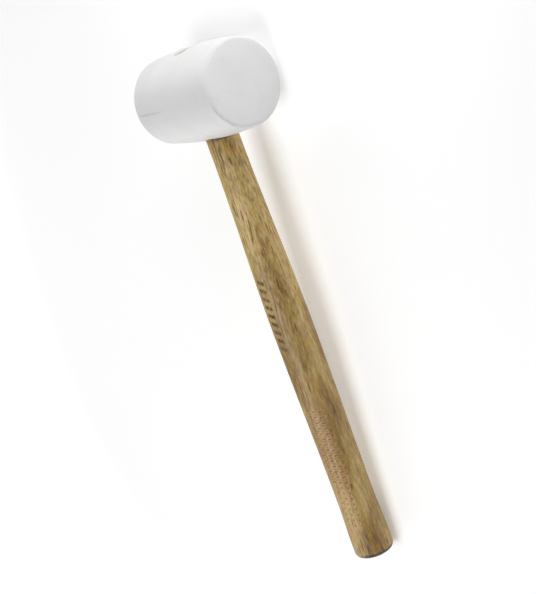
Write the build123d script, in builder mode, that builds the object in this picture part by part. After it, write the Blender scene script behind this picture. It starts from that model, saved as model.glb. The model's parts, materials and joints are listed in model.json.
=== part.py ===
from build123d import *
import os
from math import asin, atan2, cos, hypot, sin

# Rubber mallet with a turned wooden handle, lying at rest on the cheek of its head.
# Millimetres. +Z is up, the handle runs towards -X, and the striking faces look along -Y and +Y.
# The origin is on the floor, under the middle of the box round the whole mallet.

# Head: a barrel of solid rubber, moulded in one shot
head_radius = 30.0           # at the middle, where the barrel is fullest
head_half_length = 43.5      # from the middle to a striking face
barrel_fullness = 2.5        # how much smaller in radius a striking face is, before its edge is rounded
face_round = 2.4             # rounding of the edge of a striking face
lower_mouth_round = 0.7      # rounding of the mouth of the eye where the handle goes in
upper_mouth_round = 2.0      # rounding of the mouth at the top of the head

# Handle: turned wood, its places measured along its own line
tenon_radius = 10.65         # of the stretch inside the head, and of the neck
eye_clearance = 0.0          # the tenon is pressed into the eye, wall to wall
tenon_recess = 3.0           # from the fullest ring of the head down to the trimmed tenon
neck_length = 8.0            # straight stretch below the head
swell_radius = 13.3          # fullest part of the handle
swell_at = 163.0             # from the middle of the head
handle_reach = 321.2         # from the middle of the head to the end of the butt
waist_radius = 12.5          # slimmest part of the grip
waist_before_butt = 40.7     # from the end of the butt back to the waist
butt_radius = 13.2           # of the flared end
butt_flare_length = 10.7     # from the end of the butt back to where the flare is full
butt_round = 4.0             # rounding of the edge of the butt

# Wedges driven into the end of the tenon
kerf_width = 1.6             # saw cut that the wooden wedge is driven into
kerf_depth = 40.0
wood_wedge_length = 26.0
wood_wedge_thickness = 4.4   # at the trimmed end
wood_wedge_tip = 1.6
steel_wedge_length = 15.0
steel_wedge_width = 12.0
steel_wedge_thickness = 2.2  # at the trimmed end
steel_wedge_tip = 0.5

# The mallet rests on the fullest ring of its head and on the rounded edge of its butt.
# Both are circles in the upright plane through the handle, so their sizes set the lean.
butt_corner_along = handle_reach - butt_round
butt_corner_out = butt_radius - butt_round
slope_to_corner = asin((head_radius - butt_round) / hypot(butt_corner_along, butt_corner_out))
lean = slope_to_corner - atan2(butt_corner_out, butt_corner_along)
butt_side_reach = butt_corner_along * cos(lean) + butt_corner_out * sin(lean) + butt_round
head_centre = Vector((butt_side_reach - head_radius) / 2, 0, head_radius)

# Planes through the middle of the head; the handle's line points from butt to head
handle_line = Vector(cos(lean), 0, sin(lean))
girth_plane = Plane(origin=head_centre, x_dir=(0, 1, 0), z_dir=(1, 0, 0))
eye_plane = Plane(origin=head_centre, x_dir=(0, 1, 0), z_dir=handle_line)
side_plane = Plane(origin=head_centre, x_dir=handle_line, z_dir=(0, -1, 0))
cross_plane = Plane(origin=head_centre, x_dir=handle_line, z_dir=side_plane.y_dir)
striking_axis = Axis(head_centre, (0, 1, 0))
handle_axis = Axis(head_centre, handle_line)
tenon_top = head_radius - tenon_recess

# The barrel head, with the eye that the handle is pressed into
with BuildPart() as head:
    with BuildSketch(girth_plane):
        with BuildLine():
            face_radius = head_radius - barrel_fullness
            face_edge = (head_half_length, face_radius)
            far_face_edge = (-head_half_length, face_radius)
            barrel = ThreePointArc(far_face_edge, (0, head_radius), face_edge)
            Polyline(barrel @ 1, (head_half_length, 0), (-head_half_length, 0), barrel @ 0)
        make_face()
    revolve(axis=striking_axis)
    face_rims = head.faces().filter_by(GeomType.PLANE).edges()
    fillet(face_rims, face_round)
    with BuildSketch(eye_plane):
        Circle(tenon_radius + eye_clearance)
    extrude(amount=2 * head_radius, both=True, mode=Mode.SUBTRACT)
    eye_wall = head.faces().filter_by(GeomType.CYLINDER)
    eye_mouths = eye_wall.edges().filter_by(GeomType.LINE, reverse=True)
    fillet(eye_mouths.sort_by(handle_axis)[-1], upper_mouth_round)
    eye_wall = head.faces().filter_by(GeomType.CYLINDER)
    eye_mouths = eye_wall.edges().filter_by(GeomType.LINE, reverse=True)
    fillet(eye_mouths.sort_by(handle_axis)[0], lower_mouth_round)

# The steel wedge stands across the wooden one and locks it
with BuildPart() as steel_wedge:
    with BuildSketch(cross_plane):
        with BuildLine():
            steel_tip_at = tenon_top - steel_wedge_length
            Polyline(
                (tenon_top, -steel_wedge_thickness / 2),
                (tenon_top, steel_wedge_thickness / 2),
                (steel_tip_at, steel_wedge_tip / 2),
                (steel_tip_at, -steel_wedge_tip / 2),
                close=True,
            )
        make_face()
    extrude(amount=steel_wedge_width / 2, both=True)

# The wooden wedge spreads the sawn tenon, and is trimmed off flush with it
with BuildPart() as wood_wedge:
    with BuildSketch(side_plane):
        with BuildLine():
            wood_tip_at = tenon_top - wood_wedge_length
            Polyline(
                (tenon_top, -wood_wedge_thickness / 2),
                (tenon_top, wood_wedge_thickness / 2),
                (wood_tip_at, wood_wedge_tip / 2),
                (wood_tip_at, -wood_wedge_tip / 2),
                close=True,
            )
        make_face()
    extrude(amount=tenon_radius, both=True)
    with BuildSketch(eye_plane):
        Circle(tenon_radius)
    extrude(amount=head_radius, both=True, mode=Mode.INTERSECT)
    add(steel_wedge.part, mode=Mode.SUBTRACT)

# The handle is turned in one piece: tenon, neck, swell, grip and flared butt
with BuildPart() as handle:
    with BuildSketch(side_plane):
        with BuildLine():
            towards_butt = [(-1, 0), (-1, 0)]
            neck_end = (-head_radius - neck_length, tenon_radius)
            waist = (waist_before_butt - handle_reach, waist_radius)
            full_flare = (butt_flare_length - handle_reach, butt_radius)
            tenon = Polyline((tenon_top, 0), (tenon_top, tenon_radius), neck_end)
            Spline(neck_end, (-swell_at, swell_radius), tangents=towards_butt)
            Spline((-swell_at, swell_radius), waist, tangents=towards_butt)
            Spline(waist, full_flare, tangents=towards_butt)
            Polyline(full_flare, (-handle_reach, butt_radius), (-handle_reach, 0), tenon @ 0)
        make_face()
    revolve(axis=handle_axis)
    butt_rim = handle.faces().sort_by(handle_axis)[0].edges()
    fillet(butt_rim, butt_round)
    with BuildSketch(side_plane):
        with Locations((tenon_top - kerf_depth / 2, 0)):
            Rectangle(kerf_depth, kerf_width)
    extrude(amount=tenon_radius, both=True, mode=Mode.SUBTRACT)
    add(wood_wedge.part, mode=Mode.SUBTRACT)
    add(steel_wedge.part, mode=Mode.SUBTRACT)

head.part.label = "head"
handle.part.label = "handle"
wood_wedge.part.label = "wood_wedge"
steel_wedge.part.label = "steel_wedge"

os.makedirs("parts", exist_ok=True)
export_step(head.part, "parts/head.step")
export_step(handle.part, "parts/handle.step")
export_step(wood_wedge.part, "parts/wood_wedge.step")
export_step(steel_wedge.part, "parts/steel_wedge.step")
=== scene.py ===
import json
from math import asin, atan2, cos, exp, hypot, pi, radians, sin, sqrt

import bmesh
import bpy
from mathutils import Matrix, Vector, noise


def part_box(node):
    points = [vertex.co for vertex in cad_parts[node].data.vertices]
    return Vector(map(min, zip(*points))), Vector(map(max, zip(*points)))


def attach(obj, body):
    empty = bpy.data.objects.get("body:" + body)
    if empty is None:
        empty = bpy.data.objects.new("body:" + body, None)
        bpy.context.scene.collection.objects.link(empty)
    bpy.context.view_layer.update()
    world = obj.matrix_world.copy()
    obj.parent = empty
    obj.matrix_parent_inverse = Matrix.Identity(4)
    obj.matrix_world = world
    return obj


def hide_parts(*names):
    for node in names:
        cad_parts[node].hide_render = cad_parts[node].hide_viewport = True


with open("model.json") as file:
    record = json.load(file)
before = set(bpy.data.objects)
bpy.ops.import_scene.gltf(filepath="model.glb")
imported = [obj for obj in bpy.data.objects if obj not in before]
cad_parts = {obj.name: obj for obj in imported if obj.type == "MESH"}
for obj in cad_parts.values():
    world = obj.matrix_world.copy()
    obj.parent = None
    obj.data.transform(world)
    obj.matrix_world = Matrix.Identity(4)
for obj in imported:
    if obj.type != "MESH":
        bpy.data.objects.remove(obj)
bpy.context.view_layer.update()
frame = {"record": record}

MM = 0.001


# ---------------------------------------------------------------- places and sizes

def box_middle(node):
    low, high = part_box(node)
    return (low + high) / 2


mounts = {mount["name"]: mount for mount in frame["record"]["mounts"]}
front_face = Vector(mounts["front_face"]["pos_m"])
head_centre = Vector((front_face.x, 0, front_face.z))
head_radius = head_centre.z             # the fullest ring of the head rests on the floor
head_half_length = -front_face.y

# The mallet's own axes: up the handle towards the head, across the head, and out of its upper cheek
along = (box_middle("steel_wedge") - head_centre).normalized()
across = Vector((0, 1, 0))
outward = along.cross(across)
lean = atan2(along.z, along.x)
mallet_frame = Matrix.Translation(head_centre) @ Matrix((along, across, outward)).transposed().to_4x4()

# Head; angles go round it, from the top of the handle towards the upper cheek
barrel_fullness = 2.5 * MM              # the striking faces are that much smaller in radius
face_round = 2.4 * MM
face_dome = 0.9 * MM                    # the striking faces fall away that much towards their edges
dome_square, dome_sixth = 0.55, 0.45    # shares of the dome that grow with the square and the sixth power
eye_radius = 10.7 * MM
upper_mouth_round, lower_mouth_round = 2.0 * MM, 0.7 * MM
seam_height = 0.16 * MM                 # of the ring that the mould left round the middle
seam_half_width = 0.4 * MM
line_angle = radians(92.9)              # of the line sunk along the upper cheek
line_depth = 1.2 * seam_height
line_half_width = 0.45 * MM
crease_angle = radians(127)             # the middle of the crease at the edge of the front face
crease_spread = radians(34)
crease_depth = 0.4 * MM
crease_y = 2.6 * MM - head_half_length
hollow_depth = 0.08 * MM                # moulded rubber is never quite true

# Handle, measured down its line from the middle of the head
handle_low, handle_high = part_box("handle")
tenon_top = 27 * MM
neck_radius = 10.65 * MM
neck_end = head_radius + 8 * MM
swell_radius = handle_high.y
swell_at = 163 * MM
waist_radius = 12.5 * MM
waist_before_butt = 40.7 * MM
butt_radius = 13.2 * MM
butt_flare_length = 10.7 * MM
butt_round = 4 * MM
butt_corner_out = butt_radius - butt_round
butt_side_reach = head_centre.x - handle_low.x
handle_reach = (butt_side_reach - butt_round - butt_corner_out * sin(lean)) / cos(lean) + butt_round

# Wedges: each is driven in from the trimmed end of the tenon
wedge_proud = 0.3 * MM
trimmed_at = tenon_top - wedge_proud
wood_wedge_length = 26 * MM
wood_wedge_thick, wood_wedge_tip = 4.4 * MM, 1.6 * MM
steel_wedge_length = 15 * MM
steel_wedge_thick, steel_wedge_tip = 2.2 * MM, 0.5 * MM
steel_wedge_half_width = 6 * MM
pocket_clearance, notch_clearance = 0.06 * MM, 0.04 * MM

# Places on the handle: how far down it, and which way round it from the upper cheek towards the front
burnt_start, burnt_end = 121 * MM, 172 * MM
burnt_bar_count = 9
burnt_turn = radians(5)
burnt_half_height = 3.1 * MM
burnt_slant = 0.35
dark_flecks = (                         # (down, turn, half length, half width round the handle, strength)
    (44 * MM, radians(53), 4 * MM, 1.2 * MM, 0.7),
    (73 * MM, radians(5), 7 * MM, 0.9 * MM, 0.8),
    (93 * MM, radians(90), 5 * MM, 0.8 * MM, 0.6),
    (182 * MM, radians(50), 9 * MM, 2.2 * MM, 0.35),
    (269.5 * MM, radians(56), 2.2 * MM, 1.0 * MM, 0.8),
    (314 * MM, radians(102), 3.5 * MM, 1.4 * MM, 0.8),
)
pressed_start, pressed_end = 212 * MM, 299 * MM
pressed_dots_start = 266 * MM           # dashes before it, dots after it
pressed_turn = radians(26)
pressed_rows = (-1, 0, 1)
pressed_row_gap = 4.2 * MM
pressed_row_shift = 0.25                # of a pitch, from one row to the next
pressed_pitch = 3.9 * MM
pressed_depth = 0.32 * MM
dash_half_sizes = (0.55 * MM, 1.65 * MM)        # along the handle, and round it
dot_half_sizes = (0.85 * MM, 0.85 * MM)


# ---------------------------------------------------------------- camera

def place_camera():
    """Looks from beyond the front striking face, tipped over so that the handle runs down the picture."""
    aim = Vector((-134.3 * MM, 0, 9.8 * MM))
    azimuth, elevation, roll = radians(13.64), radians(32.40), radians(-117.81)
    distance = 0.9826
    camera = bpy.data.objects.new("camera", bpy.data.cameras.new("camera"))
    bpy.context.scene.collection.objects.link(camera)
    camera.data.lens = 94.0
    camera.data.sensor_width = 36
    swing = Matrix.Rotation(azimuth, 4, "Z") @ Matrix.Rotation(pi / 2 - elevation, 4, "X")
    swing = swing @ Matrix.Rotation(roll, 4, "Z")
    away = Matrix.Translation((0, 0, distance))
    camera.matrix_world = mallet_frame @ Matrix.Translation(aim) @ swing @ away
    bpy.context.scene.camera = camera


place_camera()


# ---------------------------------------------------------------- materials

class Wire:
    """A number or vector that changes over a surface, written in ordinary arithmetic."""

    def __init__(self, recipe, socket):
        self.recipe = recipe
        self.socket = socket

    def math(self, operation, *others):
        return self.recipe.node("ShaderNodeMath", {"operation": operation}, self, *others)

    def __add__(self, other):
        return self.math("ADD", other)

    def __radd__(self, other):
        return self.math("ADD", other)

    def __sub__(self, other):
        return self.math("SUBTRACT", other)

    def __rsub__(self, other):
        return self.recipe.node("ShaderNodeMath", {"operation": "SUBTRACT"}, other, self)

    def __mul__(self, other):
        return self.math("MULTIPLY", other)

    def __rmul__(self, other):
        return self.math("MULTIPLY", other)

    def __truediv__(self, other):
        return self.math("DIVIDE", other)

    def __neg__(self):
        return self * -1

    def __abs__(self):
        return self.math("ABSOLUTE")

    def whole_part_off(self):
        return self.math("FRACT")

    def root(self):
        return self.math("SQRT")

    def rise(self, low, high):
        """0 below low, 1 above high, with a smooth rise between."""
        settings = {"interpolation_type": "SMOOTHSTEP"}
        return self.recipe.node("ShaderNodeMapRange", settings, self, low, high, 0.0, 1.0)

    def peak(self, place, width):
        """1 at a place, falling smoothly to 0 a width away from it."""
        return 1 - abs(self - place).rise(0.0, width)


class Recipe:
    """The nodes of one material."""

    def __init__(self, name):
        self.material = bpy.data.materials.new(name)
        self.material.use_nodes = True
        self.tree = self.material.node_tree
        self.tree.nodes.clear()

    def node(self, kind, settings=None, *values, output=0, **named):
        """Adds a node: first its settings, then the values or wires of its sockets, in order or by name."""
        made = self.tree.nodes.new(kind)
        for key, setting in (settings or {}).items():
            if key == "stops":
                self.set_stops(made.color_ramp, setting)
            else:
                setattr(made, key, setting)
        sockets = [socket for socket in made.inputs if socket.enabled]
        pairs = list(zip(sockets, values))
        pairs += [(made.inputs[name.replace("_", " ")], value) for name, value in named.items()]
        for socket, value in pairs:
            if isinstance(value, Wire):
                self.tree.links.new(value.socket, socket)
            elif value is not None:
                socket.default_value = value
        shown = [socket for socket in made.outputs if socket.enabled]
        return Wire(self, shown[output] if isinstance(output, int) else made.outputs[output])

    def set_stops(self, ramp, stops):
        while len(ramp.elements) < len(stops):
            ramp.elements.new(0.5)
        for element, (place, colour) in zip(ramp.elements, stops):
            element.position = place
            element.color = (*colour, 1)

    def vector(self, operation, *values, output=0):
        return self.node("ShaderNodeVectorMath", {"operation": operation}, *values, output=output)

    def place(self):
        """The surface point in metres: up the handle, across the head, and out of the upper cheek."""
        point = self.node("ShaderNodeTexCoord", output="Object")
        from_middle = self.vector("SUBTRACT", point, tuple(head_centre))
        return [self.vector("DOT_PRODUCT", from_middle, tuple(axis), output="Value")
                for axis in (along, across, outward)]

    def join(self, x, y, z):
        return self.node("ShaderNodeCombineXYZ", None, x, y, z)

    def noise(self, vector, scale=1.0, detail=3.0, roughness=0.5):
        settings = {"Vector": vector, "Scale": scale, "Detail": detail, "Roughness": roughness}
        return self.node("ShaderNodeTexNoise", **settings)

    def stretched_noise(self, place, along_grain, over_grain, detail=3.0, roughness=0.5):
        """Noise drawn out along the handle: place is up, side and out, and the others are its two scales."""
        up, side, out = place
        stretched = self.join(up * along_grain, side * over_grain, out * over_grain)
        return self.noise(stretched, 1.0, detail, roughness)

    def angle_between(self, opposite, beside):
        """The angle of a right triangle, in radians, all the way round."""
        return self.node("ShaderNodeMath", {"operation": "ARCTAN2"}, opposite, beside)

    def ramp(self, value, stops):
        return self.node("ShaderNodeValToRGB", {"stops": stops}, value)

    def mix(self, amount, first, second, blend="MIX"):
        """Colours, mixed by a number."""
        first, second = (colour if isinstance(colour, Wire) else (*colour, 1) for colour in (first, second))
        return self.node("ShaderNodeMix", {"data_type": "RGBA", "blend_type": blend}, amount, first, second)

    def bump(self, height, depth, strength):
        return self.node("ShaderNodeBump", None, Height=height, Distance=depth, Strength=strength)

    def finish(self, colour, roughness, normal=None, glow=None, **constants):
        shader = self.tree.nodes.new("ShaderNodeBsdfPrincipled")
        varying = {"Base Color": colour, "Roughness": roughness, "Normal": normal, "Emission Color": glow}
        for name, value in varying.items():
            if isinstance(value, Wire):
                self.tree.links.new(value.socket, shader.inputs[name])
            elif value is not None:
                shader.inputs[name].default_value = value
        for name, value in constants.items():
            shader.inputs[name.replace("_", " ")].default_value = value
        output = self.tree.nodes.new("ShaderNodeOutputMaterial")
        self.tree.links.new(shader.outputs[0], output.inputs[0])
        return self.material


# Rubber
clean_rubber, dull_rubber = (0.805, 0.805, 0.805), (0.780, 0.780, 0.778)
# The second grey darkens the sunk line and the front face's crease: painted shade, with some dirt
scuffed_rubber, shaded_dusty_rubber = (0.70, 0.70, 0.695), (0.42, 0.42, 0.41)


def dust_and_painted_shade(side, angle, cloud, scuff):
    """Dust and painted shade in the line sunk along the cheek, towards its back end, and in the crease of the
    front face.
    """
    from_line = (angle - line_angle) * head_radius + (cloud - 0.5) * 0.8 * MM
    line = from_line.peak(0.0, 1.3 * MM) * side.rise(-4 * MM, 36 * MM)
    line = line * (1 - side.rise(35 * MM, 41 * MM) * 0.7)
    crease = angle.peak(crease_angle, crease_spread) * side.peak(crease_y, 1.7 * MM)
    return (line * 0.5 + crease * 0.75) * scuff.rise(0.25, 0.55)


def white_rubber():
    recipe = Recipe("white_rubber")
    up, side, out = recipe.place()
    place = recipe.join(up, side, out)
    cloud = recipe.noise(place, scale=45, detail=4)
    scuff = recipe.noise(recipe.join(up * 60, side * 160, out * 60), detail=5, roughness=0.65)
    speck = recipe.noise(place, scale=900, detail=2)
    grain = recipe.noise(place, scale=2600, detail=3)
    dust_and_shade = dust_and_painted_shade(side, recipe.angle_between(out, up), cloud, scuff)
    colour = recipe.mix(cloud.rise(0.35, 0.7), clean_rubber, dull_rubber)
    colour = recipe.mix(scuff.rise(0.52, 0.75) * 0.35, colour, scuffed_rubber)
    # Painted shade, with some dirt, darkens the sunk line and the front face's crease
    colour = recipe.mix(dust_and_shade, colour, shaded_dusty_rubber)
    roughness = 0.45 + cloud * 0.12 + dust_and_shade * 0.2
    normal = recipe.bump(grain * 0.6 + speck * 0.4, 0.03 * MM, 0.5)
    return recipe.finish(colour, roughness, normal, IOR=1.5)


def burnt_bars(down, round_arc):
    """A row of slanted bars burnt into the wood."""
    pitch = (burnt_end - burnt_start) / burnt_bar_count
    slanted = (down - burnt_start - round_arc * burnt_slant) / pitch
    bar = 1 - abs(slanted.whole_part_off() - 0.5).rise(0.16, 0.30)
    inside = down.rise(burnt_start, burnt_start + 0.2 * MM) * (1 - down.rise(burnt_end, burnt_end + 0.2 * MM))
    height = abs(round_arc) / burnt_half_height
    return bar * inside * (1 - height.rise(0.88, 1.06))


def pressed_pattern(down, round_arc):
    """The rows of dashes and dots pressed into the grip, and a pale ring of painted highlight round each of
    them.
    """
    marks, rim_highlights = 0, 0
    is_dot = down.rise(pressed_dots_start - 0.5 * pressed_pitch, pressed_dots_start - 0.4 * pressed_pitch)
    half_along = dash_half_sizes[0] + is_dot * (dot_half_sizes[0] - dash_half_sizes[0])
    half_round = dash_half_sizes[1] + is_dot * (dot_half_sizes[1] - dash_half_sizes[1])
    for row in pressed_rows:
        along_row = (down - pressed_start) / pressed_pitch - pressed_row_shift * row
        from_mark = abs(along_row.whole_part_off() - 0.5) * pressed_pitch
        from_row = abs(round_arc - row * pressed_row_gap)
        across_mark = from_row / half_round
        down_mark = from_mark / half_along
        away = (across_mark * across_mark + down_mark * down_mark).root()
        marks = (1 - away.rise(0.4, 1.3)) + marks
        rim_highlights = away.peak(1.7, 0.7) + rim_highlights
    inside = down.rise(pressed_start, pressed_start + 1 * MM)
    inside = inside * (1 - down.rise(pressed_end - 1 * MM, pressed_end))
    return marks * inside, rim_highlights * inside


def early_wood(recipe, side, out):
    """The porous part of each year's ring; the pith is outside the handle."""
    ring_width = 2.1 * MM
    from_pith = recipe.vector("LENGTH", recipe.join(0.0, side + 40 * MM, out * 0.8 - 18 * MM), output="Value")
    phase = (from_pith / ring_width).whole_part_off()
    return phase.rise(0.0, 0.08) * (1 - phase.rise(0.25, 0.6))


# Wood, from its dark to its light, and what tints it or lies over it
wood_tones = [
    (0.10, (0.135, 0.068, 0.018)), (0.34, (0.305, 0.182, 0.058)), (0.50, (0.440, 0.302, 0.109)),
    (0.66, (0.585, 0.432, 0.185)), (0.90, (0.730, 0.590, 0.320))]
olive_tint, pink_tint, gold_tint = (0.97, 1.01, 0.66), (1.06, 0.91, 0.92), (1.14, 1.00, 0.48)
# The first tint is painted sheen, paler and pinker, on the grip; the second dulls end grain
sheen_tint, end_tint = (1.14, 1.0, 1.10), (0.74, 0.66, 0.60)
# Painted highlight round each pressed mark, and painted shade inside it
pale_rim_highlight, pressed_shade_brown = (0.72, 0.57, 0.36), (0.240, 0.128, 0.045)
fleck_brown, burnt_brown = (0.150, 0.074, 0.022), (0.060, 0.036, 0.018)
# Painted shade for the joint below the head and the butt's rounded edge
neck_painted_shade, butt_painted_shade = (0.060, 0.048, 0.028), (0.048, 0.043, 0.024)


def tone_and_shade_down_handle(down, turn):
    """How much paler or darker the wood is down the handle: paler below the neck, darker in the hand and at
    the butt; the darkening by the head, and down the middle of the handle's round, is painted shade.
    """
    tone = down.peak(75 * MM, 60 * MM) * 0.13 + down.peak(268 * MM, 40 * MM) * 0.03
    # Painted shade by the head
    tone = tone - (1 - down.rise(31 * MM, 50 * MM)) * turn.peak(0.8, 1.1) * 0.14
    tone = tone - down.peak(205 * MM, 55 * MM) * 0.05 - down.rise(150 * MM, 250 * MM) * 0.025
    # The last term is painted shade down the middle of the handle's round
    return tone - down.rise(285 * MM, 318 * MM) * 0.05 - turn.peak(0.95, 0.8) * 0.03


def with_dark_flecks(recipe, colour, down, turn, fleck):
    for place_down, place_turn, half_length, half_arc, strength in dark_flecks:
        spot_down = (down - place_down) / half_length
        spot_round = (turn - place_turn) * swell_radius / half_arc
        away = (spot_down * spot_down + spot_round * spot_round).root() + (fleck - 0.5) * 1.5
        colour = recipe.mix((1 - away.rise(0.3, 1.1)) * strength, colour, fleck_brown)
    return colour


def with_painted_shade_and_end_grain(recipe, colour, down, turn, from_line, ragged):
    """Painted shade in the joint below the head and on the rounded edge of the butt, and dull end grain."""
    # Painted shade in the joint below the head
    neck = 1 - (down + ragged * 2 * MM).rise(29.3 * MM, 31.0 * MM)
    neck = neck * turn.peak(0.9, 1.2) * down.rise(20 * MM, 25 * MM)
    colour = recipe.mix(neck * 0.9, colour, neck_painted_shade)
    # Painted shade on the rounded edge of the butt
    butt = (down + ragged * 3 * MM).rise(handle_reach - 4.4 * MM, handle_reach - 2.2 * MM)
    butt = butt * turn.peak(1.15, 2.0).rise(0.0, 0.7)
    butt = butt * (from_line + ragged * 4 * MM).rise(butt_corner_out - 2 * MM, butt_corner_out + 1 * MM)
    colour = recipe.mix(butt * 0.95, colour, butt_painted_shade)
    butt_end = down.rise(handle_reach - 0.4 * MM, handle_reach - 0.1 * MM)
    trimmed_end = 1 - down.rise(-trimmed_at, -trimmed_at + 0.3 * MM)
    return recipe.mix((butt_end + trimmed_end) * 0.8, colour, end_tint, "MULTIPLY")


def handle_wood():
    recipe = Recipe("handle_wood")
    up, side, out = recipe.place()
    down = -up
    turn = recipe.angle_between(-side, out)
    from_line = (side * side + out * out).root()
    # the grain wanders, and runs out of the handle at a small angle
    drift = recipe.stretched_noise((up, side, out), 9, 25, detail=2) - 0.5
    side = side + up * 0.05 + drift * 6 * MM
    out = out + drift * 4 * MM
    place = (up, side, out)

    early = early_wood(recipe, side, out)
    patch = recipe.stretched_noise(place, 22, 110)
    hue = recipe.stretched_noise(place, 75, 330, detail=4, roughness=0.6)
    gold = recipe.noise(recipe.join(up * 130 + 5, side * 520, out * 520), detail=4, roughness=0.65)
    fleck = recipe.stretched_noise(place, 170, 800, detail=4, roughness=0.62)
    fibre = recipe.stretched_noise(place, 300, 5200, detail=2)
    streak = recipe.stretched_noise(place, 80, 760)
    lively = 0.75 + (1 - down.rise(60 * MM, 190 * MM)) * 0.6          # the grain is bolder towards the head
    pore = streak.rise(0.56, 0.68) * (0.35 + early * 0.65) * lively

    tone = 0.52 + tone_and_shade_down_handle(down, turn) + (patch - 0.5) * 0.75 + (fleck - 0.5) * lively * 0.85
    tone = tone + (fibre - 0.5) * 0.3 - early * 0.05 - pore * 0.30
    colour = recipe.ramp(tone, wood_tones)
    colour = recipe.mix(hue.rise(0.50, 0.68) * 0.8, colour, olive_tint, "MULTIPLY")
    colour = recipe.mix((1 - hue.rise(0.34, 0.50)) * 0.8, colour, pink_tint, "MULTIPLY")
    colour = recipe.mix(gold.rise(0.50, 0.66) * lively * 0.7, colour, gold_tint, "MULTIPLY")

    # Painted sheen: paler and pinker on the grip, on its side towards the upper cheek
    painted_sheen = down.rise(205 * MM, 216 * MM) * (1 - down.rise(298 * MM, 306 * MM))
    painted_sheen = painted_sheen * turn.peak(pressed_turn, 0.75)
    colour = recipe.mix(painted_sheen * 0.6, colour, sheen_tint, "MULTIPLY")
    pressed, rim_highlight = pressed_pattern(down, (turn - pressed_turn) * waist_radius)
    # Painted highlight round each pressed mark, and painted shade inside it
    colour = recipe.mix(rim_highlight * 0.18, colour, pale_rim_highlight)
    colour = recipe.mix(pressed * (0.2 + fleck * 0.5), colour, pressed_shade_brown)
    colour = with_dark_flecks(recipe, colour, down, turn, fleck)
    ragged = recipe.noise(recipe.join(up, side, out), scale=420, detail=3) - 0.5
    colour = with_painted_shade_and_end_grain(recipe, colour, down, turn, from_line, ragged)
    burnt = burnt_bars(down, (turn - burnt_turn) * swell_radius) * (0.15 + fleck.rise(0.3, 0.65) * 0.85)
    colour = recipe.mix(burnt, colour, burnt_brown)

    roughness = 0.50 + pore * 0.15 + burnt * 0.15 - fleck * 0.1
    normal = recipe.bump(fibre * 0.3 + fleck * 0.3 - pore - burnt * 0.6, 0.07 * MM, 0.6)
    return recipe.finish(colour, roughness, normal, IOR=1.45, Coat_Weight=0.08, Coat_Roughness=0.35)


def wedge_wood():
    recipe = Recipe("wedge_wood")
    place = recipe.join(*recipe.place())
    grain = recipe.noise(place, scale=1500, detail=3)
    colour = recipe.ramp(grain, [(0.3, (0.20, 0.12, 0.05)), (0.7, (0.42, 0.28, 0.13))])
    return recipe.finish(colour, 0.7, recipe.bump(grain, 0.08 * MM, 0.6))


def wedge_steel():
    recipe = Recipe("wedge_steel")
    up, side, out = recipe.place()
    wear = recipe.noise(recipe.join(up, side, out), scale=700, detail=4)
    scratch = recipe.noise(recipe.join(up * 400, side * 400, out * 6000), detail=2)
    colour = recipe.ramp(wear, [(0.3, (0.30, 0.29, 0.28)), (0.7, (0.55, 0.54, 0.53))])
    normal = recipe.bump(wear * 0.6 + scratch * 0.4, 0.05 * MM, 0.5)
    return recipe.finish(colour, 0.35 + wear * 0.2, normal, Metallic=1.0)


def pale_floor():
    recipe = Recipe("pale_floor")
    up, side, out = recipe.place()
    cloud = recipe.noise(recipe.join(up, side, out), scale=3, detail=2)
    colour = recipe.mix(cloud, (0.90, 0.90, 0.90), (0.92, 0.92, 0.92))
    # where the lamps no longer reach, the floor's own glow keeps it white to the horizon
    from_middle = up + 0.45 * handle_reach
    far = (from_middle * from_middle + side * side).root().rise(0.36, 0.62)
    glow = recipe.mix(far, (0.265, 0.265, 0.265), (1.0, 1.0, 1.0))
    return recipe.finish(colour, 0.8, glow=glow, Emission_Strength=1)


# ---------------------------------------------------------------- mesh helpers

def ease(share):
    """0 to 1 with a smooth start and end; what is outside is held at 0 or 1."""
    share = min(1, max(0, share))
    return share * share * (3 - 2 * share)


def spaced(start, stop, step, fine=()):
    """Places from start to stop about a step apart, and closer inside each (low, high, step) of fine."""
    places = [start]
    hair = 1e-9
    sliver = 0.3                    # of the step before it, and the last step is joined to that one
    while stop - places[-1] > 0.01 * step:
        here = places[-1]
        ahead = step
        for low, high, gap in fine:
            if low - hair <= here < high - hair:
                ahead = min(ahead, gap, high - here)
            elif here < low:
                ahead = min(ahead, low - here)
        places.append(min(here + ahead, stop))
    if len(places) > 2 and places[-1] - places[-2] < sliver * (places[-2] - places[-3]):
        del places[-2]
    return places


def shape_from(name, mesh):
    """An object with its points in the floor's frame, from a mesh made in the mallet's own axes."""
    bmesh.ops.remove_doubles(mesh, verts=mesh.verts, dist=1e-6)
    bmesh.ops.recalc_face_normals(mesh, faces=mesh.faces)
    bmesh.ops.transform(mesh, matrix=mallet_frame, verts=mesh.verts)
    data = bpy.data.meshes.new(name)
    mesh.to_mesh(data)
    mesh.free()
    shape = bpy.data.objects.new(name, data)
    bpy.context.scene.collection.objects.link(shape)
    return shape


def cut_away(shape, *cutters):
    """Takes the cutters' volumes out of a shape, and does away with the cutters."""
    for cutter in cutters:
        cut = shape.modifiers.new(cutter.name, "BOOLEAN")
        cut.operation, cut.solver, cut.object = "DIFFERENCE", "EXACT", cutter
    cut_shape = shape.evaluated_get(bpy.context.evaluated_depsgraph_get())
    shape.data = bpy.data.meshes.new_from_object(cut_shape)
    shape.modifiers.clear()
    for cutter in cutters:
        bpy.data.objects.remove(cutter)


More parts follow.
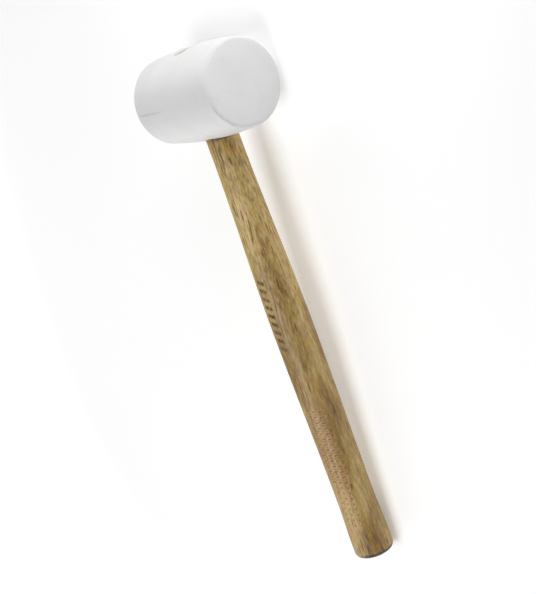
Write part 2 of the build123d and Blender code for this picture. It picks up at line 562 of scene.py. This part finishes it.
def finish_piece(piece, material, slot, *nodes):
    """Shades a piece, lets it ride on the mallet, and hides the CAD nodes it replaces."""
    sharp = radians(50)
    mesh = bmesh.new()
    mesh.from_mesh(piece.data)
    for edge in mesh.edges:
        edge.smooth = edge.calc_face_angle(0) < sharp
    for face in mesh.faces:
        face.smooth = True
    mesh.to_mesh(piece.data)
    mesh.free()
    piece.data.materials.clear()
    piece.data.materials.append(material)
    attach(piece, "root")
    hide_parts(*nodes)


def skin(mesh, rows, closed_columns=False):
    """Quads between rows of points of equal length."""
    rows = [[mesh.verts.new(point) for point in row] for row in rows]
    for row, after in zip(rows, rows[1:]):
        count = len(row)
        for j in range(count if closed_columns else count - 1):
            k = (j + 1) % count
            mesh.faces.new((row[j], row[k], after[k], after[j]))
    return rows


def close_end(mesh, ring, middle):
    """Triangles from a ring to a point."""
    centre = mesh.verts.new(middle)
    for j in range(len(ring)):
        mesh.faces.new((ring[j], ring[(j + 1) % len(ring)], centre))


# ---------------------------------------------------------------- head

bow_radius = (head_half_length ** 2 + barrel_fullness ** 2) / (2 * barrel_fullness)
dome_drop = (2 * dome_square + 6 * dome_sixth) * face_dome     # of its slope at the edge, over its radius
face_tilt = atan2(dome_drop, head_radius - barrel_fullness - face_round)
round_end = pi / 2 - face_tilt
round_middle_y = head_half_length - face_dome - face_round * sin(round_end)
round_middle_r = sqrt((bow_radius - face_round) ** 2 - round_middle_y ** 2) - (bow_radius - head_radius)
round_start = atan2(round_middle_y, round_middle_r + bow_radius - head_radius)
barrel_end = round_middle_y + face_round * sin(round_start)
patch_half_angle = radians(30)          # the patch of barrel round each mouth of the eye
patch_half_length = 15 * MM


def barrel_radius(y):
    return sqrt(bow_radius ** 2 - y ** 2) - (bow_radius - head_radius)


def mould_marks(angle, y):
    """A ring stands up round the middle, and a line is sunk along the back half of the upper cheek."""
    ring = exp(-(y / seam_half_width) ** 2)
    ring *= 0.65 + 0.35 * noise.noise(Vector((cos(angle), sin(angle), 0)) * 4)
    from_line = (angle - line_angle) * head_radius
    line = exp(-(from_line / line_half_width) ** 2) * ease(y / head_half_length * 1.3 + 0.05)
    return seam_height * ring - line_depth * line


def hollow_at(angle, y):
    spot = Vector((cos(angle) * 1.6, y / head_radius * 1.3, sin(angle) * 1.6))
    return hollow_depth * (0.5 + 0.5 * noise.noise(spot))


def crease_at(angle, share):
    """Depth of the crease in the rounded edge of the front face, where the mould's disc met its barrel."""
    round_it = 1 - ease(abs(angle - crease_angle) / crease_spread)
    return crease_depth * round_it * exp(-((share - 0.45) / 0.16) ** 2)


def on_barrel(angle, y, mirrored=False):
    radius = barrel_radius(y) - seam_height + mould_marks(angle, y) - hollow_at(angle, y)
    flip = -1 if mirrored else 1
    return Vector((flip * radius * cos(angle), y, radius * sin(angle)))


def eye_mouth(mesh, angles, lengths, mirrored):
    """The barrel round one mouth of the eye, the rounded mouth, and half of the eye's wall."""
    edge = [(angle, lengths[0]) for angle in angles[:-1]]
    edge += [(angles[-1], y) for y in lengths[:-1]]
    edge += [(angle, lengths[-1]) for angle in reversed(angles[1:])]
    edge += [(angles[0], y) for y in reversed(lengths[1:])]
    mouth_round = lower_mouth_round if mirrored else upper_mouth_round
    mouth_radius = eye_radius + mouth_round
    turns = [atan2(y, head_radius * sin(angle)) for angle, y in edge]
    rings = []
    steps = 10
    for step in range(steps + 1):
        share = step / steps
        ring = []
        for (angle, y), turn in zip(edge, turns):
            mouth_y = mouth_radius * sin(turn)
            mouth_angle = asin(mouth_radius * cos(turn) / barrel_radius(mouth_y))
            ring.append(on_barrel(angle + (mouth_angle - angle) * share, y + (mouth_y - y) * share, mirrored))
        rings.append(ring)
    bends = 6 if mirrored else 12               # the upper mouth is the rounder one
    flip = -1 if mirrored else 1
    for step in range(1, bends + 1):
        bend = pi / 2 * step / bends
        radius = eye_radius + mouth_round * (1 - sin(bend))
        sink = mouth_round * (1 - cos(bend))
        ring = []
        for turn in turns:
            y = radius * sin(turn)
            point = on_barrel(asin(radius * cos(turn) / barrel_radius(y)), y, mirrored)
            ring.append(point - Vector((flip * sink, 0, 0)))
        rings.append(ring)
    wall = rings[-1]
    for share in (0.8, 0.6, 0.4, 0.2, 0.0):
        rings.append([Vector((point.x * share, point.y, point.z)) for point in wall])
    skin(mesh, rings, closed_columns=True)


def striking_face(mesh, side, angles):
    """A rounded edge of the barrel and the domed face inside it, at the front (-1) or the back (1)."""
    rings = []
    bends = 14
    for step in range(bends + 1):
        share = step / bends
        bend = round_start + (round_end - round_start) * share
        ring = []
        for angle in angles:
            start = on_barrel(angle, side * barrel_end)
            slack = hypot(start.x, start.z) - barrel_radius(barrel_end)
            bend_radius = face_round - (crease_at(angle, share) if side == -1 else 0)
            radius = round_middle_r + bend_radius * cos(bend) + slack
            y = side * (round_middle_y + bend_radius * sin(bend))
            ring.append(Vector((radius * cos(angle), y, radius * sin(angle))))
        rings.append(ring)
    edge = rings[-1]
    for share in (0.97, 0.93, 0.87, 0.8, 0.72, 0.64, 0.56, 0.48, 0.4, 0.32, 0.24, 0.16, 0.08, 0.03):
        y = side * (head_half_length - face_dome * (dome_square * share ** 2 + dome_sixth * share ** 6))
        rings.append([Vector((point.x * share, y, point.z * share)) for point in edge])
    made = skin(mesh, rings, closed_columns=True)
    close_end(mesh, made[-1], Vector((0, side * head_half_length, 0)))


def make_head():
    mesh = bmesh.new()
    step = 1.25 * MM
    fine, fine_reach = 0.2 * MM, 1.2 * MM       # across the ring and the line
    inner = spaced(0, patch_half_length, step, [(0, fine_reach, fine)])
    outer = spaced(patch_half_length, barrel_end, step)
    patch_lengths = [-y for y in reversed(inner[1:])] + inner
    lengths = [-y for y in reversed(outer[1:])] + patch_lengths + outer[1:]
    patch_columns = 26
    patch_angles = [patch_half_angle * (2 * i / patch_columns - 1) for i in range(patch_columns + 1)]
    near_line = fine_reach / head_radius
    line_detail = [(line_angle - near_line, line_angle + near_line, fine / head_radius)]
    cheek = spaced(patch_half_angle, pi - patch_half_angle, step / head_radius, line_detail)
    under = [2 * pi - angle for angle in reversed(cheek)]
    # the two cheeks, and the barrel beyond each mouth's patch
    for angles in (cheek, under):
        skin(mesh, [[on_barrel(angle, y) for angle in angles] for y in lengths])
    for mirrored in (False, True):
        eye_mouth(mesh, patch_angles, patch_lengths, mirrored)
        for rows in ([-y for y in reversed(outer)], outer):
            skin(mesh, [[on_barrel(angle, y, mirrored) for angle in patch_angles] for y in rows])
    mirrored_patch = [pi - angle for angle in reversed(patch_angles)]
    all_round = patch_angles[:-1] + cheek[:-1] + mirrored_patch[:-1] + under[:-1]
    for side in (-1, 1):
        striking_face(mesh, side, all_round)
    finish_piece(shape_from("head_rubber", mesh), white_rubber(), "white_rubber", "head")


# ---------------------------------------------------------------- handle

def handle_radius(down):
    """Radius of the turned handle at a distance down its line."""
    waist_at = handle_reach - waist_before_butt
    flare_at = handle_reach - butt_flare_length
    stations = [
        (neck_end, neck_radius), (swell_at, swell_radius), (waist_at, waist_radius), (flare_at, butt_radius)]
    if down <= neck_end:
        return neck_radius
    for (start, before), (stop, after) in zip(stations, stations[1:]):
        if down <= stop:
            return before + (after - before) * ease((down - start) / (stop - start))
    return butt_radius


def pressed_marks():
    """The middles of the dashes and dots pressed into the grip: (down, arc round the handle, half sizes)."""
    marks = []
    for row in pressed_rows:
        for number in range(int((pressed_end - pressed_start) / pressed_pitch)):
            down = pressed_start + (number + 0.5 + pressed_row_shift * row) * pressed_pitch
            half_sizes = dash_half_sizes if down < pressed_dots_start else dot_half_sizes
            marks.append((down, row * pressed_row_gap, *half_sizes))
    return marks


def pressed_in(down, arc, marks):
    """How deep the nearest pressed mark is at a place on the grip."""
    deepest = 0
    for middle, row_arc, half_along, half_round in marks:
        if abs(down - middle) > 2 * half_along or abs(arc - row_arc) > 2 * half_round:
            continue
        away = hypot((down - middle) / half_along, (arc - row_arc) / half_round)
        deepest = max(deepest, 1 - ease((away - 0.35) / 0.9))
    return pressed_depth * deepest


def on_handle(down, turn, radius):
    return Vector((-down, -radius * sin(turn), radius * cos(turn)))


def gripped_ring(down, turns, marks):
    """A ring of the turned handle, with the pressed marks of the grip sunk into it."""
    ring = []
    for turn in turns:
        radius = handle_radius(down)
        radius -= pressed_in(down, (turn - pressed_turn) * radius, marks)
        ring.append(on_handle(down, turn, radius))
    return ring


def shrunk(ring, share):
    """A ring drawn in towards the handle's line."""
    return [Vector((point.x, point.y * share, point.z * share)) for point in ring]


def make_handle():
    mesh = bmesh.new()
    marks = pressed_marks()
    fine = 0.36 * MM
    half_band = 1.5 * pressed_row_gap / waist_radius
    band_start = pressed_turn - half_band
    band = [(band_start, pressed_turn + half_band, fine / waist_radius)]
    turns = spaced(band_start, band_start + 2 * pi, 1.1 * MM / waist_radius, band)[:-1]
    downs = spaced(-trimmed_at, handle_reach - butt_round, 1.5 * MM, [(pressed_start, pressed_end, fine)])
    rings = []
    for down in downs:
        in_band = pressed_start < down < pressed_end
        nearby = [mark for mark in marks if in_band and abs(mark[0] - down) < 2 * MM]
        rings.append(gripped_ring(down, turns, nearby))
    bends = 10
    for step in range(1, bends + 1):
        bend = pi / 2 * step / bends
        down = handle_reach - butt_round * (1 - sin(bend))
        radius = butt_corner_out + butt_round * cos(bend)
        rings.append([on_handle(down, turn, radius) for turn in turns])
    shares = (0.9, 0.75, 0.6, 0.45, 0.3, 0.15)
    top = [shrunk(rings[0], share) for share in reversed(shares)]
    bottom = [shrunk(rings[-1], share) for share in shares]
    made = skin(mesh, top + rings + bottom, closed_columns=True)
    close_end(mesh, made[0], Vector((trimmed_at, 0, 0)))
    close_end(mesh, made[-1], Vector((-handle_reach, 0, 0)))
    handle = shape_from("turned_handle", mesh)
    wood_pocket = wood_wedge_shape("wood_wedge_pocket", pocket_clearance)
    steel_pocket = steel_wedge_shape("steel_wedge_pocket", pocket_clearance)
    cut_away(handle, wood_pocket, steel_pocket)
    finish_piece(handle, handle_wood(), "handle_wood", "handle")


# ---------------------------------------------------------------- wedges

def tapered(name, length, tip, thick, outline, grow):
    """A wedge driven down the handle's line; outline gives its section for a thickness.

    One that is grown all round is the pocket or notch that a wedge sits in.
    """
    mesh = bmesh.new()
    rings = []
    for share, longer in ((0, -grow), (0.25, 0), (0.5, 0), (0.75, 0), (1, grow)):
        up = tenon_top - length * (1 - share) + longer
        rings.append([Vector((up, y, z)) for y, z in outline(tip + (thick - tip) * share + 2 * grow)])
    made = skin(mesh, rings, closed_columns=True)
    close_end(mesh, made[0], Vector((rings[0][0].x, 0, 0)))
    close_end(mesh, made[-1], Vector((rings[-1][0].x, 0, 0)))
    if not grow:
        bmesh.ops.recalc_face_normals(mesh, faces=mesh.faces)
        rim = [edge for edge in mesh.edges if edge.calc_face_angle(0) > radians(60)]
        bmesh.ops.bevel(mesh, geom=rim, offset=0.15 * MM, segments=2, affect="EDGES", profile=0.5)
    return shape_from(name, mesh)


def wood_wedge_shape(name, grow=0):
    """As wide as the tenon, with its narrow sides following the tenon's round."""
    run_out = 0.5 * MM if grow else 0           # the pocket is cut right through the tenon's sides
    radius = neck_radius + run_out

    def outline(thick):
        offsets = [thick * (i / 6 - 0.5) for i in range(7)]
        one_side = [(sqrt(radius ** 2 - z ** 2), z) for z in offsets]
        return one_side + [(-y, z) for y, z in reversed(one_side)]

    return tapered(name, wood_wedge_length, wood_wedge_tip, wood_wedge_thick, outline, grow)


def steel_wedge_shape(name, grow=0):
    """A plain flat wedge across the wooden one."""

    def outline(thick):
        y, z = thick / 2, steel_wedge_half_width + grow
        return [(y, -z), (y, z), (-y, z), (-y, -z)]

    return tapered(name, steel_wedge_length, steel_wedge_tip, steel_wedge_thick, outline, grow)


def make_wedges():
    wooden = wood_wedge_shape("driven_wood_wedge")
    cut_away(wooden, steel_wedge_shape("steel_wedge_notch", notch_clearance))
    finish_piece(wooden, wedge_wood(), "wedge_wood", "wood_wedge")
    finish_piece(steel_wedge_shape("driven_steel_wedge"), wedge_steel(), "wedge_steel", "steel_wedge")


make_head()
make_handle()
make_wedges()


# ---------------------------------------------------------------- floor and light

def make_floor():
    mesh = bmesh.new()
    half = 12.0                             # metres, so that it reaches the horizon from low down too
    skin(mesh, [[Vector((x, y, 0)) for x in (-half, 0, half)] for y in (-half, 0, half)])
    data = bpy.data.meshes.new("floor")
    mesh.to_mesh(data)
    mesh.free()
    floor = bpy.data.objects.new("floor", data)
    bpy.context.scene.collection.objects.link(floor)
    data.materials.append(pale_floor())


def softbox(name, aim, azimuth, elevation, distance, size, watts):
    """A square lamp that shines on the point it aims at, with angles in degrees and lengths in metres."""
    light = bpy.data.objects.new(name, bpy.data.lights.new(name, "AREA"))
    bpy.context.scene.collection.objects.link(light)
    light.data.size = size
    light.data.energy = watts
    flat = cos(radians(elevation))
    towards = Vector((cos(radians(azimuth)) * flat, sin(radians(azimuth)) * flat, sin(radians(elevation))))
    light.location = aim + towards * distance
    light.rotation_euler = towards.to_track_quat("Z", "Y").to_euler()


def light_the_table():
    world = bpy.data.worlds.new("studio")
    bpy.context.scene.world = world
    world.use_nodes = True
    world.node_tree.nodes["Background"].inputs["Strength"].default_value = 0
    middle = Vector((0, 0, head_centre.z))
    softbox("close_to_face", head_centre, azimuth=330, elevation=12, distance=0.32, size=0.2, watts=0.54)
    softbox("near_back", head_centre, azimuth=90, elevation=15, distance=0.55, size=0.4, watts=0.17)
    softbox("near_handle", head_centre, azimuth=180, elevation=15, distance=0.55, size=0.4, watts=0.16)
    softbox("near_handle_high", head_centre, azimuth=210, elevation=45, distance=0.55, size=0.4, watts=0.20)
    softbox("head_end", middle, azimuth=45, elevation=15, distance=1.3, size=1.0, watts=4.9)
    softbox("back_side", middle, azimuth=135, elevation=15, distance=1.3, size=1.0, watts=4.8)
    softbox("front_side", middle, azimuth=270, elevation=45, distance=1.3, size=1.0, watts=1.5)
    softbox("overhead", middle, azimuth=180, elevation=75, distance=1.3, size=1.0, watts=10.5)
    bpy.context.scene.view_settings.view_transform = "Standard"


make_floor()
light_the_table()
